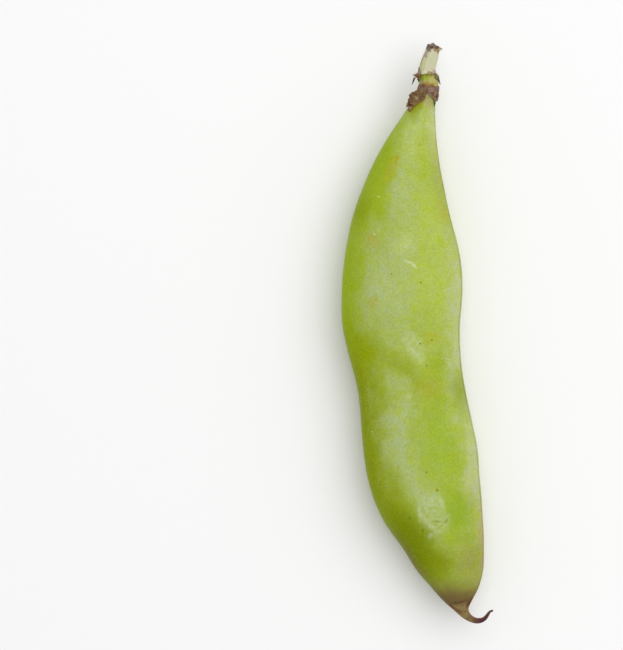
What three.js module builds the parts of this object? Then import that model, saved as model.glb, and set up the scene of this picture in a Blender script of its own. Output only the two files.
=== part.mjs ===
// A broad bean pod as picked, with its stalk and the withered flower remains at its neck.
// Millimetres, +Z up. The pod lies on one broad side on the plane Z = 0, its stalk towards +Y
// and its beak towards -Y. The origin is on that plane, under the middle of the whole piece.

import * as THREE from "three";

// Driving dimensions
const POD_BREADTH = 29; // across the broad side, at the fullest seed
const POD_THICKNESS = 19; // from broad side to broad side, at the same place
const BED_DEPTH = 0.45; // how far the lowest seeds are pressed flat by lying on them
const SEED_SWELL = 0.55; // how far a seed pushes the wall out
const SEED_REACH = 8; // from a seed's middle to where its swelling is gone
const SEAM_HEIGHT = 0.45; // of the seam along each narrow side
const SEAM_BREADTH = 1.6;
const STALK_BREADTH = 4.4; // at its foot, inside the calyx
const GAP = 0.25; // between pieces that touch

// The pod measured from neck to beak. Each row holds the place of its middle, across and along,
// in mm, and its breadth and thickness there as shares of the two greatest ones.
const POD_STATIONS = [
  [2.7, 62.0, 0.155, 0.235],
  [2.7, 60.2, 0.155, 0.235],
  [2.65, 59.0, 0.137, 0.205],
  [2.5, 57.9, 0.14, 0.21],
  [2.05, 56.6, 0.175, 0.265],
  [0.75, 53.0, 0.24, 0.345],
  [-0.6, 48.1, 0.352, 0.48],
  [-2.05, 42.0, 0.503, 0.62],
  [-3.15, 35.3, 0.653, 0.75],
  [-3.75, 28.3, 0.793, 0.87],
  [-3.65, 19.5, 0.94, 0.95],
  [-3.7, 10.5, 1.0, 0.96],
  [-3.9, 1.5, 0.97, 0.93],
  [-3.0, -5.5, 0.91, 0.89],
  [-1.9, -12.0, 0.89, 0.88],
  [-0.7, -19.0, 0.905, 0.91],
  [0.5, -26.5, 0.945, 0.95],
  [1.5, -33.0, 0.945, 0.96],
  [2.75, -39.2, 0.895, 0.92],
  [4.6, -44.6, 0.785, 0.83],
  [6.4, -49.6, 0.67, 0.71],
  [8.05, -54.3, 0.57, 0.6],
  [9.05, -58.5, 0.463, 0.47],
  [9.6, -61.8, 0.355, 0.37],
  [10.05, -64.4, 0.225, 0.26],
  [10.55, -66.2, 0.107, 0.15],
  [11.5, -67.4, 0.07, 0.105],
  [12.7, -68.45, 0.055, 0.085],
  [14.0, -68.95, 0.046, 0.07],
  [15.2, -68.95, 0.042, 0.062],
  [16.2, -68.4, 0.034, 0.05],
  [16.7, -67.5, 0.023, 0.035],
  [17.3, -66.8, 0.017, 0.026],
  [18.1, -66.5, 0.014, 0.02],
];
const SEEDS_ALONG = [27, 7, -20, -40];

// The stalk from its foot to the cut end, as the pod's rows, in shares of STALK_BREADTH.
const STALK_STATIONS = [
  [2.4, 62.4, 0.94],
  [2.45, 63.4, 0.92],
  [3.0, 65.2, 0.79],
  [3.55, 67.0, 0.74],
  [3.85, 68.1, 0.76],
  [3.85, 68.8, 0.6],
  [3.85, 69.6, 0.28],
];
const CUT_CRUMPLE = 0.22; // how deep the dried rim of the cut is folded, as a share of its radius
const CUT_FOLDS = 5;

const UP = new THREE.Vector3(0, 0, 1);
const TURN = 2 * Math.PI;

// A smooth line through rows of numbers, which gives any row between them. Share 0 is the first.
function throughRows(rows) {
  const smooth = (points) => new THREE.CatmullRomCurve3(points, false, "catmullrom");
  const places = smooth(rows.map(([x, y]) => new THREE.Vector3(x, y, 0)));
  const sizes = smooth(rows.map(([, , a, b = a]) => new THREE.Vector3(a, b, 0)));
  return (share) => {
    const size = sizes.getPoint(share);
    const side = UP.clone().cross(places.getTangent(share));
    return { middle: places.getPoint(share), side, breadth: size.x, thickness: size.y };
  };
}

// A closed solid from rings of points, each ring turning from its side towards up.
// Its ends are closed on their middles, or the last ring is joined to the first round a hole.
function solidOfRings(rings, holed = false) {
  const around = rings[0].length;
  const points = rings.flat();
  const faces = [];
  const bands = holed ? rings.length : rings.length - 1;
  for (let i = 0; i < bands; i++) {
    for (let j = 0; j < around; j++) {
      const next = (j + 1) % around;
      const after = ((i + 1) % rings.length) * around;
      const [a, b, c, d] = [i * around + j, i * around + next, after + next, after + j];
      faces.push(a, b, d, b, c, d);
    }
  }
  if (!holed) {
    for (const ring of [0, rings.length - 1]) {
      const middle = rings[ring].reduce((sum, p) => sum.add(p), new THREE.Vector3());
      const first = ring * around;
      for (let j = 0; j < around; j++) {
        const edge = [first + j, first + ((j + 1) % around)];
        faces.push(points.length, ...(ring === 0 ? edge.reverse() : edge));
      }
      points.push(middle.divideScalar(around));
    }
  }
  const geometry = new THREE.BufferGeometry().setFromPoints(points).setIndex(faces);
  geometry.computeVertexNormals();
  return geometry;
}

function steps(count, from = 0, to = 1) {
  return Array.from({ length: count + 1 }, (_, i) => from + ((to - from) * i) / count);
}

function anglesRound(count) {
  return steps(count, 0, TURN).slice(0, -1);
}

function hump(distance, reach) {
  return Math.exp(-((distance / reach) ** 2));
}

// How near an angle is to another: 1 on it, falling to 0 at a spread to each side.
function near(angle, other, spread) {
  const apart = Math.abs(((angle - other + 1.5 * TURN) % TURN) - TURN / 2);
  return THREE.MathUtils.smoothstep(spread - apart, 0, spread);
}

// ---- Pod: the whole wall with its neck and beak, grown in one piece ----

const podRow = throughRows(POD_STATIONS);
const MIDDLE_HEIGHT = (POD_THICKNESS * 0.96) / 2 + SEED_SWELL - BED_DEPTH;

// The skin at a share of the pod's length and an angle round it, raised by lift.
// Angle 0 is the seam towards +X and a quarter turn on is the upper broad side.
function podSkin(share, angle, lift = 0) {
  const { middle, side, breadth, thickness } = podRow(share);
  const seeds = SEEDS_ALONG.reduce((sum, y) => sum + hump(middle.y - y, SEED_REACH), 0);
  const swell = SEED_SWELL * seeds * Math.abs(Math.sin(angle));
  const height = Math.sin(angle) * ((POD_THICKNESS / 2) * thickness + swell + lift);
  const seamHeight = SEAM_HEIGHT * THREE.MathUtils.smoothstep(breadth, 0.2, 0.6);
  const seam = seamHeight * (hump(height, SEAM_BREADTH) - 1);
  const reach = (POD_BREADTH / 2) * breadth + seam + lift;
  const point = middle.addScaledVector(side, Math.cos(angle) * reach);
  point.z = Math.max(MIDDLE_HEIGHT + height, 0);
  return point;
}

function podSolid() {
  const rings = steps(93).map((share) => anglesRound(36).map((angle) => podSkin(share, angle)));
  return solidOfRings(rings);
}

// ---- Stalk: the pale stub above the calyx, shrivelled at the cut ----

const stalkRow = throughRows(STALK_STATIONS);

function stalkSkin(share, angle) {
  const { middle, side, breadth } = stalkRow(share);
  const dried = THREE.MathUtils.smoothstep(share, 0.6, 0.85);
  const fold = 1 + CUT_CRUMPLE * dried * Math.sin(CUT_FOLDS * angle + 1);
  const radius = (STALK_BREADTH / 2) * breadth * fold;
  // The side turns about with the direction of the rows, and the angle starts at +X all the same.
  const point = middle.addScaledVector(side, -Math.cos(angle) * radius);
  point.z = MIDDLE_HEIGHT + Math.sin(angle) * radius;
  return point;
}

function stalkSolid() {
  // From the cut end down to the foot, the same way as the pod's rings.
  const rings = steps(18, 1, 0).map((share) => anglesRound(20).map((angle) => stalkSkin(share, angle)));
  return solidOfRings(rings);
}

// ---- Withered flower: the calyx, the stamen sheath and a petal, dried onto the neck ----

const DRY_WALL = 0.4; // of the calyx, the sheath and the petal
const CRUMPLE = 0.1; // how far their outsides are creased

// The calyx is a short bell over the joint of stalk and pod. Each tooth of its hem stands at an
// angle round the neck, spreads to each side, hangs below the hem and flares out, in radians and mm.
const CALYX_TOP = 63.7;
const CALYX_LENGTH = 1.5;
const CALYX_MIDDLE = [2.55, 2.65]; // across, at the top and at the hem
const CALYX_TEETH = [
  { angle: 0.1 * Math.PI, spread: 1.2, hangs: 2.0, flares: 0.15 },
  { angle: 0.93 * Math.PI, spread: 0.9, hangs: 0.4, flares: 0.9 },
  { angle: 0.93 * Math.PI, spread: 0.45, hangs: 1.9, flares: 0 },
];

// The sheath of the stamens is a band on the neck, torn down to a point on the right.
const SHEATH_TOP = 59.5;
const SHEATH_HEM = 57.5;
const SHEATH_TEETH = [
  { angle: 0.02 * Math.PI, spread: 0.55, hangs: 2.3 },
  { angle: 0.75 * Math.PI, spread: 1.0, hangs: 0.3 },
];

// The petal lies on the left shoulder, between two places along the pod.
const PETAL_TOP = 56.5;
const PETAL_TIP = 52.5;
const PETAL_ANGLE = 0.74 * Math.PI;
const PETAL_SPREAD = 0.66; // to each side of its angle, at its widest
const PETAL_LIFT = 0.4; // of its tip off the pod

// What the teeth at an angle add up to, in one of their measures.
function toothSum(teeth, measure, angle) {
  return teeth.reduce((sum, tooth) => sum + tooth[measure] * near(angle, tooth.angle, tooth.spread), 0);
}

// Where the pod's middle line reaches a place along it, as a share of its length.
function podShareAt(along) {
  let [low, high] = [0, 0.5];
  for (let i = 0; i < 30; i++) {
    const middle = (low + high) / 2;
    if (podRow(middle).middle.y > along) low = middle;
    else high = middle;
  }
  return low;
}

// A sleeve between an upper and a lower edge. Where gives the point at an angle, a share of the
// way down and a share of the way through the wall.
function sleeve(where, sides) {
  const rows = 6;
  const outside = steps(rows).map((down) => anglesRound(sides).map((a) => where(a, down, 1)));
  const inside = steps(rows, 1, 0).map((down) => anglesRound(sides).map((a) => where(a, down, 0)));
  return solidOfRings([...outside, ...inside], true);
}

function calyxSolid() {
  const topRadius = (STALK_BREADTH / 2) * STALK_STATIONS[1][2] + GAP;
  const hemRadius = (POD_BREADTH / 2) * POD_STATIONS[0][2] + GAP;
  return sleeve((angle, down, through) => {
    const length = CALYX_LENGTH + toothSum(CALYX_TEETH, "hangs", angle) + 1.5 * CRUMPLE * Math.sin(7 * angle);
    const flare = toothSum(CALYX_TEETH, "flares", angle) * down ** 1.5;
    const radius = THREE.MathUtils.lerp(topRadius, hemRadius, down) + flare + DRY_WALL * through;
    return new THREE.Vector3(
      THREE.MathUtils.lerp(...CALYX_MIDDLE, down) + Math.cos(angle) * radius,
      CALYX_TOP - length * down,
      MIDDLE_HEIGHT + Math.sin(angle) * radius,
    );
  }, 36);
}

function sheathSolid() {
  return sleeve((angle, down, through) => {
    const ragged = CRUMPLE * (2 * Math.sin(5 * angle + 0.6) + Math.sin(11 * angle));
    const hem = SHEATH_HEM - toothSum(SHEATH_TEETH, "hangs", angle) - ragged;
    const share = THREE.MathUtils.lerp(podShareAt(SHEATH_TOP), podShareAt(hem), down);
    const crease = CRUMPLE * Math.sin(9 * angle + 5 * down);
    return podSkin(share, angle, GAP + through * (DRY_WALL + crease));
  }, 40);
}

function petalSolid() {
  const across = steps(12, -1, 1);
  const rings = steps(14, 0.03, 0.97).map((down) => {
    const share = THREE.MathUtils.lerp(podShareAt(PETAL_TOP), podShareAt(PETAL_TIP), down);
    const ragged = 1 + 1.5 * CRUMPLE * Math.sin(17 * down);
    const half = PETAL_SPREAD * Math.sin(Math.PI * down) ** 0.6 * ragged;
    const gap = GAP + PETAL_LIFT * down ** 2;
    const skin = (x, lift) => podSkin(share, PETAL_ANGLE + half * x, gap + lift);
    const outer = across.map((x) => skin(x, DRY_WALL + CRUMPLE * Math.sin(6 * x + 9 * down)));
    const inner = across.map((x) => skin(-x, 0));
    return [...outer, ...inner];
  });
  return solidOfRings(rings);
}

const group = new THREE.Group();

function add(name, geometry, colour, roughness) {
  const material = new THREE.MeshStandardMaterial({ color: colour, roughness, metalness: 0 });
  const mesh = new THREE.Mesh(geometry, material);
  mesh.name = name;
  group.add(mesh);
}

add("pod", podSolid(), 0xa2b440, 0.5);
add("stalk", stalkSolid(), 0xcdcca8, 0.7);
add("calyx", calyxSolid(), 0x8a7350, 0.9);
add("stamen_sheath", sheathSolid(), 0x7a6248, 0.9);
add("petal", petalSolid(), 0x7d6544, 0.9);

export default group;
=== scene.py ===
# The looks of a broad bean pod as picked: the pod, its cut stalk, and the withered flower at its neck.
# Metres, in the frame's own axes: the stalk points towards +Y, the beak towards -Y, and +Z is up.

import math

import bpy
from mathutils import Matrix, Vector, noise


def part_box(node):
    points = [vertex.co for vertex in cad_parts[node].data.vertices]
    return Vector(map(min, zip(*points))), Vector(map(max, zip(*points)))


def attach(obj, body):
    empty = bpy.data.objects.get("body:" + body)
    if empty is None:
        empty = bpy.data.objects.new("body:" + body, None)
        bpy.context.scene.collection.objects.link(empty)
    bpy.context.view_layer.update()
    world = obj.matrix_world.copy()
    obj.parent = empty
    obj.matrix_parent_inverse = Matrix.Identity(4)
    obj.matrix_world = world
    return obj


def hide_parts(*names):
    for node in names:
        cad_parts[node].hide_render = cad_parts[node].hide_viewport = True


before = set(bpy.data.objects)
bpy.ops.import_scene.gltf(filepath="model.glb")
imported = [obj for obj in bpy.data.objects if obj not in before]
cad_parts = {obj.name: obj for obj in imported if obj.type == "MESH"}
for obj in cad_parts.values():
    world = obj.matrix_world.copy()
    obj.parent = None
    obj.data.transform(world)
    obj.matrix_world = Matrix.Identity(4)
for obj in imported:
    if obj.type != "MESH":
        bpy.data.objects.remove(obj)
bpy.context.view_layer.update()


# ---- The pod -----------------------------------------------------------------------------------
# The whole fruit: two leathery green halves joined by a seam along each narrow side, swollen over
# four seeds, with a thin neck above and a brown, dried beak below. It is drawn out ring by ring
# from the neck to the tip of the beak, and its seams, seeds and wrinkles are then raised from it.

MM = 0.001
neck_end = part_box("pod")[1][1]
pod_middle = (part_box("pod")[0][0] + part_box("pod")[1][0]) / 2
middle_height = (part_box("stalk")[0][2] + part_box("stalk")[1][2]) / 2

# Each row holds how far down from the neck's end a ring lies, how far across from the middle of
# the pod's box, and half its breadth and half its thickness, in millimetres. There is one row
# wherever the shape turns, and a smooth curve gives the rings between.
POD_ROWS = [
    (-0.5, 2.4, 1.85, 1.9),
    (1.8, 2.7, 2.4, 2.25),
    (4.0, 2.55, 2.25, 2.2),
    (7.0, 1.5, 2.9, 2.8),
    (11.5, 0.2, 4.3, 3.9),
    (17.0, -1.3, 6.2, 5.2),
    (23.5, -2.6, 8.3, 6.6),
    (30.0, -3.4, 10.2, 7.7),
    (36.0, -3.8, 11.9, 8.5),
    (43.0, -3.7, 13.5, 9.1),
    (51.0, -3.7, 14.3, 9.1),
    (60.0, -3.9, 13.9, 8.8),
    (67.0, -2.9, 13.0, 8.4),
    (74.0, -1.7, 12.4, 8.4),
    (82.0, -0.6, 12.8, 8.7),
    (92.0, 0.9, 13.4, 9.1),
    (98.0, 1.85, 12.95, 8.9),
    (104.0, 3.75, 11.9, 8.3),
    (110.0, 5.9, 9.9, 7.1),
    (116.0, 7.6, 8.3, 5.7),
    (121.0, 9.2, 6.4, 4.4),
    (124.5, 9.8, 4.8, 3.2),
    (127.0, 10.3, 2.8, 2.1),
    (128.4, 10.7, 1.65, 1.4),
    (129.9, 11.8, 1.0, 0.95),
    (130.9, 13.4, 0.75, 0.7),
    (131.1, 14.6, 0.7, 0.65),
    (130.9, 15.7, 0.6, 0.6),
    (130.2, 16.5, 0.5, 0.5),
    (129.3, 17.0, 0.38, 0.38),
    (128.75, 17.45, 0.3, 0.3),
    (128.6, 18.2, 0.25, 0.25),
]
# Rings lie this far apart as a share of the half breadth, within these limits in millimetres.
RING_SPACING = 0.5
CLOSEST_RINGS = 0.8
WIDEST_RINGS = 3.2
# The finer forms that stand out from the rings or are sunk in them, and how high or deep each is.
SEEDS_DOWN = (35, 55, 82, 102)
SEED_REACH = 8
SEED_SWELL = 0.55
# Which way each seam lies from a ring's middle, across and up: a little above the middle on the
# right-hand side, and a little below it on the left.
SEAM_SIDES = ((0.966, 0.259), (-0.966, -0.259))
SEAM_LIP = 0.38
SEAM_GROOVE = 0.3
DENT_SIZES = (11, 3.6)
DENT_HEIGHT = 0.3
FURROWS = 13
FURROW_DEPTH = 0.14
RIBS = 11
RIB_DEPTH = 0.12


def alone():
    """Leaves edit mode and deselects everything, so that the next piece starts by itself."""
    if bpy.context.object and bpy.context.object.mode == "EDIT":
        bpy.ops.object.mode_set(mode="OBJECT")
    bpy.ops.object.select_all(action="DESELECT")


def grip(piece, wanted):
    """Goes into edit mode with only the wanted corners selected."""
    bpy.ops.object.mode_set(mode="EDIT")
    bpy.ops.mesh.select_mode(type="VERT")
    bpy.ops.mesh.select_all(action="DESELECT")
    bpy.ops.object.mode_set(mode="OBJECT")
    for corner in piece.data.vertices:
        corner.select = wanted(corner)
    bpy.ops.object.mode_set(mode="EDIT")


def finish_with(piece, kind, **settings):
    """Adds a modifier with its settings and applies it."""
    bpy.ops.object.mode_set(mode="OBJECT")
    modifier = piece.modifiers.new(kind.title(), kind)
    for name, value in settings.items():
        setattr(modifier, name, value)
    bpy.ops.object.modifier_apply(modifier=modifier.name)


def round_off(piece, levels):
    """Rounds a piece off by subdividing it."""
    finish_with(piece, "SUBSURF", levels=levels, render_levels=levels)


def raise_by(piece, height, amount_of):
    """Raises the surface by a height in millimetres times the amount that a corner is given, 0 to 1."""
    bpy.ops.object.mode_set(mode="OBJECT")
    raised = piece.vertex_groups.new(name="raised")
    for corner in piece.data.vertices:
        raised.add([corner.index], amount_of(corner), "REPLACE")
    finish_with(piece, "DISPLACE", strength=height * MM, mid_level=0, vertex_group="raised")
    piece.vertex_groups.clear()


def filled_in(rows):
    """Adds rings between the given rows, on a smooth curve through them all."""
    rows = [Vector(row) for row in rows]
    gaps = [(below - above).length for above, below in zip(rows, rows[1:])]
    slopes = [(below - above) / gap for above, below, gap in zip(rows, rows[1:], gaps)]
    inner = [
        (slopes[i] * gaps[i + 1] + slopes[i + 1] * gaps[i]) / (gaps[i] + gaps[i + 1])
        for i in range(len(gaps) - 1)
    ]
    leads = [slopes[0]] + inner + [slopes[-1]]
    rings = []
    for i, gap in enumerate(gaps):
        apart = min(max(RING_SPACING * rows[i][2], CLOSEST_RINGS), WIDEST_RINGS)
        steps = max(round(gap / apart), 1)
        for step in range(steps):
            t = step / steps
            near = rows[i] * (1 + 2 * t) * (1 - t) ** 2 + leads[i] * gap * t * (1 - t) ** 2
            far = rows[i + 1] * t * t * (3 - 2 * t) - leads[i + 1] * gap * t * t * (1 - t)
            rings.append(near + far)
    return rings + [rows[-1]]


def turn_of(rows, i):
    """How far a row's ring is turned about Z to stand square to the line through its neighbours."""
    above = rows[max(i - 1, 0)]
    below = rows[min(i + 1, len(rows) - 1)]
    return math.atan2(below[1] - above[1], below[0] - above[0])


def draw_out(name, rows, sides, closed=True):
    """Draws a ring out through rows of (down, across, half breadth, half thickness), in millimetres."""
    swell = 3 / (2 + math.cos(2 * math.pi / sides))  # makes up for what smoothing takes off a ring
    alone()
    bpy.ops.mesh.primitive_circle_add(vertices=sides, radius=MM, rotation=(math.pi / 2, 0, 0))
    bpy.ops.object.transform_apply(location=False, rotation=True, scale=True)
    piece = bpy.context.object
    piece.name = piece.data.name = name
    piece.data.attributes.new("round", "FLOAT_VECTOR", "POINT")
    bpy.ops.object.mode_set(mode="EDIT")
    bpy.ops.mesh.select_all(action="SELECT")
    before = (0, 0, 1 / swell, 1 / swell)
    here = Vector((0, 0, 0))
    turn = 0
    for i, row in enumerate(rows):
        if i > 0:
            bpy.ops.mesh.extrude_region_move()
        there = Vector((pod_middle + row[1] * MM, neck_end - row[0] * MM, middle_height))
        bpy.ops.transform.translate(value=there - here)
        here = there
        # With no window this operator turns the other way round, so a minus sign turns the ring back.
        bpy.ops.transform.rotate(value=turn, orient_axis="Z", center_override=here)
        bpy.ops.transform.resize(value=(row[2] / before[2], 1, row[3] / before[3]), center_override=here)
        turn = turn_of(rows, i)
        bpy.ops.transform.rotate(value=-turn, orient_axis="Z", center_override=here)
        before = row
    bpy.ops.object.mode_set(mode="OBJECT")
    # A corner keeps its way out from the ring's middle, across and up, and its ring's half breadth.
    for corner in piece.data.vertices:
        ring, step = divmod(corner.index, sides)
        angle = 2 * math.pi * step / sides
        piece.data.attributes["round"].data[corner.index].vector = (
            -math.sin(angle), math.cos(angle), rows[ring][2],
        )
    if closed:
        last = len(piece.data.vertices) - sides
        for first in (last, 0):
            grip(piece, lambda corner: first <= corner.index < first + sides)
            bpy.ops.mesh.extrude_region_move()
            bpy.ops.mesh.merge(type="CENTER")
    bpy.ops.object.mode_set(mode="EDIT")
    bpy.ops.mesh.select_all(action="SELECT")
    bpy.ops.mesh.normals_make_consistent(inside=False)
    bpy.ops.object.mode_set(mode="OBJECT")
    return piece


def way_out(piece, corner):
    """Which way a corner faces from the middle of its ring, across and up, and the half breadth."""
    return piece.data.attributes["round"].data[corner.index].vector


def angle_of(piece, corner):
    """Where round its ring a corner lies, in radians."""
    out = way_out(piece, corner)
    return math.atan2(out.y, out.x)


def down(corner):
    """How far below the neck's end a corner lies, in millimetres."""
    return (neck_end - corner.co.y) / MM


def from_seam(piece, corner):
    """How far round the ring a corner lies from the nearer seam, in millimetres."""
    out = way_out(piece, corner)
    return min(
        abs(out.x * side[1] - out.y * side[0]) * out.z if out.x * side[0] + out.y * side[1] > 0 else 99
        for side in SEAM_SIDES
    )


def fade(value, low, high):
    """Goes smoothly from 0 at low to 1 at high."""
    t = min(max((value - low) / (high - low), 0), 1)
    return t * t * (3 - 2 * t)


def ridges(angle, count, sway):
    """Lengthwise ridges round a ring, 0 to 1, swayed aside."""
    return 0.5 + 0.5 * math.sin(count * angle + sway)


def over_seeds(corner):
    """How much the seeds within lift the two broad faces here."""
    facing = abs(way_out(pod, corner).y)
    swell = max(math.exp(-(((down(corner) - seed) / SEED_REACH) ** 2)) for seed in SEEDS_DOWN)
    return fade(facing, 0.2, 1) * swell


def seam_lips(corner):
    """The two halves' edges swell beside their seam, from the shoulder down to the foot."""
    along = fade(down(corner), 10, 34) * (1 - fade(down(corner), 116, 126))
    return along * (1 - fade(from_seam(pod, corner), 0.6, 2.8))


def seam_groove(corner):
    """The line where the two halves meet."""
    along = fade(down(corner), 8, 30) * (1 - fade(down(corner), 120, 127))
    return along * (1 - fade(from_seam(pod, corner), 0, 0.8))


def dimples(corner):
    """Broad, shallow dents and a finer unevenness of the skin."""
    here = corner.co / MM
    broad = noise.noise(here / DENT_SIZES[0]) * 0.5 + 0.5
    fine = noise.noise(here / DENT_SIZES[1] + Vector((7, 0, 0))) * 0.5 + 0.5
    return (0.72 * broad + 0.28 * fine) * fade(down(corner), 6, 22) * (1 - fade(down(corner), 118, 126))


def furrows(corner):
    """Lengthwise wrinkles where the skin has dried, at the foot and down the beak."""
    sway = noise.noise(corner.co / MM * 0.35) * 4.4
    return ridges(angle_of(pod, corner), FURROWS, sway) * fade(down(corner), 123.5, 127)


def ribs(corner):
    """Faint lengthwise ribs of the neck, where the stalk's strands run into the pod."""
    sway = 0.8 * noise.noise(corner.co / MM * 0.4)
    return ridges(angle_of(pod, corner), RIBS, sway) * (1 - fade(down(corner), 9, 24))


pod = draw_out("bean_pod", filled_in(POD_ROWS), sides=24)
round_off(pod, 2)
raise_by(pod, SEED_SWELL, over_seeds)
raise_by(pod, SEAM_LIP, seam_lips)
raise_by(pod, -SEAM_GROOVE, seam_groove)
raise_by(pod, DENT_HEIGHT, dimples)
raise_by(pod, -FURROW_DEPTH, furrows)
raise_by(pod, -RIB_DEPTH, ribs)

# Where it rests, its own weight presses the skin flat.
grip(pod, lambda corner: corner.co.z < 0)
bpy.ops.transform.resize(value=(1, 1, 0), center_override=(0, 0, 0))
round_off(pod, 1)
bpy.ops.object.shade_smooth()


def linear(colour):
    """A hex colour as Blender's linear values."""
    parts = [int(colour[i:i + 2], 16) / 255 for i in (1, 3, 5)]
    return [part / 12.92 if part <= 0.04045 else ((part + 0.055) / 1.055) ** 2.4 for part in parts] + [1]


def add_node(material, kind, settings={}, inputs={}):
    """Adds a shader node, with its settings, and each input linked, coloured or set to a value."""
    new = material.node_tree.nodes.new("ShaderNode" + kind)
    for name, value in settings.items():
        setattr(new, name, value)
    for name, value in inputs.items():
        if isinstance(value, bpy.types.NodeSocket):
            material.node_tree.links.new(value, new.inputs[name])
        elif isinstance(value, str):
            new.inputs[name].default_value = linear(value)
        else:
            new.inputs[name].default_value = value
    return new


def new_material(name):
    """An empty material and the place on it, in millimetres across, down and up from the neck's end."""
    material = bpy.data.materials.new(name)
    material.use_nodes = True
    material.node_tree.nodes.clear()
    place = add_node(material, "TexCoord").outputs["Object"]
    start = (-pod_middle / MM, neck_end / MM, -middle_height / MM)
    inputs = {"Vector": place, "Location": start, "Scale": (1 / MM, -1 / MM, 1 / MM)}
    return material, add_node(material, "Mapping", inputs=inputs).outputs[0]


def mottle(material, where, size, detail=2.0, roughness=0.5, stretch=(1, 1, 1)):
    """Cloudy variation, 0 to 1, with clouds of a size in millimetres."""
    laid = add_node(material, "Mapping", {"vector_type": "TEXTURE"}, {"Vector": where, "Scale": stretch})
    inputs = {"Vector": laid.outputs[0], "Scale": 1 / size, "Detail": detail, "Roughness": roughness}
    return add_node(material, "TexNoise", inputs=inputs).outputs["Fac"]


def vary(material, amount, value, low, high, least=0.0, most=1.0, curve="SMOOTHSTEP"):
    """An amount times least where a value is low, rising to the amount times most where it is high."""
    inputs = {"Value": value, "From Min": low, "From Max": high, "To Min": least, "To Max": most}
    times = add_node(material, "MapRange", {"interpolation_type": curve}, inputs).outputs["Result"]
    return add_node(material, "Math", {"operation": "MULTIPLY"}, {0: amount, 1: times}).outputs[0]


def tint(material, ground, colour, amount, value, low, high, curve="SMOOTHSTEP"):
    """Lays a colour over a ground, from none where a value is low to the full amount where it is high."""
    amount = vary(material, amount, value, low, high, curve=curve)
    return add_node(material, "Mix", {"data_type": "RGBA"}, {0: amount, 6: ground, 7: colour}).outputs[2]


def soft_spot(material, where, middle, half, turn=0, name=""):
    """A soft spot, 1 at its middle and 0 at its rim, with its half sizes and its turn in degrees."""
    inputs = {"Vector": where, "Location": middle, "Rotation": (0, 0, math.radians(turn)), "Scale": half}
    laid = add_node(material, "Mapping", {"vector_type": "TEXTURE", "label": name}, inputs).outputs[0]
    return add_node(material, "TexGradient", {"gradient_type": "SPHERICAL"}, {"Vector": laid}).outputs["Fac"]


def lay_patches(material, where, ground, patches):
    """Lays soft patches of colour over a ground. A patch has its name, its middle across, down and
    up, its half sizes, its turn in degrees (leaning left as it goes down), colour, strength and edge."""
    for name, middle, half, turn, colour, strength, edge in patches:
        spot = soft_spot(material, where, middle, half, turn, name)
        ground = tint(material, ground, colour, strength, spot, 0.0, edge)
    return ground


def lay_strips(material, where, ground, strips):
    """Lays soft strips of colour that run down the pod, each with a border that strays."""
    stray_reach = 0.3  # as a share of the way across, as a strip's middle and half width are
    fading = 11  # millimetres above and below each end
    out = add_node(material, "Attribute", {"attribute_name": "round"}).outputs["Vector"]
    across = add_node(material, "SeparateXYZ", inputs={"Vector": out}).outputs["X"]
    along = add_node(material, "SeparateXYZ", inputs={"Vector": where}).outputs["Y"]
    stray = mottle(material, where, 7.0, 4.0, 0.55, (1, 2, 1))
    stray = vary(material, 1.0, stray, 0.2, 0.8, -stray_reach, stray_reach, "LINEAR")
    across = add_node(material, "Math", {"operation": "ADD"}, {0: across, 1: stray}).outputs[0]
    for name, middle, half, start, end, colour, strength in strips:
        off = add_node(material, "Math", {"operation": "SUBTRACT", "label": name}, {0: across, 1: middle})
        off = add_node(material, "Math", {"operation": "ABSOLUTE"}, {0: off.outputs[0]}).outputs[0]
        amount = vary(material, strength, off, half, half * 0.1)
        amount = vary(material, amount, along, start - fading, start + fading)
        ground = tint(material, ground, colour, amount, along, end + fading, end - fading)
    return ground


def wander(material, where, size, reach):
    """The same place, strayed by up to a reach, so that what is laid there has a wavy border."""
    inputs = {"Vector": where, "Scale": 1 / size, "Detail": 3.0}
    stray = add_node(material, "TexNoise", inputs=inputs).outputs["Color"]
    inputs = {0: stray, 1: (2 * reach,) * 3, 2: where}
    strayed = add_node(material, "VectorMath", {"operation": "MULTIPLY_ADD"}, inputs).outputs[0]
    inputs = {0: strayed, 1: (reach,) * 3}
    return add_node(material, "VectorMath", {"operation": "SUBTRACT"}, inputs).outputs[0]


def strayed_down(material, where, reach):
    """How far down the pod a place is, strayed by up to a reach, in millimetres."""
    along = add_node(material, "SeparateXYZ", inputs={"Vector": where}).outputs["Y"]
    along = add_node(material, "Math", {"operation": "SUBTRACT"}, {0: along, 1: reach}).outputs[0]
    inputs = {0: mottle(material, where, reach * 2, 3.0), 1: reach * 2, 2: along}
    return add_node(material, "Math", {"operation": "MULTIPLY_ADD"}, inputs).outputs[0]


def paint_shade_in_pits(material, colour, dark, strength, low=0.44, high=0.56):
    """Paints shade into the pits of the surface, darkening them, and leaves its crests as they are."""
    bend = add_node(material, "NewGeometry").outputs["Pointiness"]
    return tint(material, colour, dark, strength, bend, high, low, "LINEAR")


# The skin of a fresh bean pod: leathery, satin, and dulled by a pale wax bloom that rubs off in
# streaks. It yellows where it is bruised, and browns where it has dried at the foot and beak.
# Painted shade and a painted green reflection darken its left flank, painted shade lies in its
# hollows and under the pieces at its neck, and a painted sheen and highlights lie on its bloom.
BARE_GREEN = "#9BB41A"
MID_GREEN = "#9DB040"
OLIVE = "#899900"
BLOOM = "#ADBC7A"
BLOOM_AND_HIGHLIGHT = "#C0CC90"
YELLOWED = "#B0AE3C"
DULLED = "#969850"
PINKED = "#ADA27A"
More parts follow.
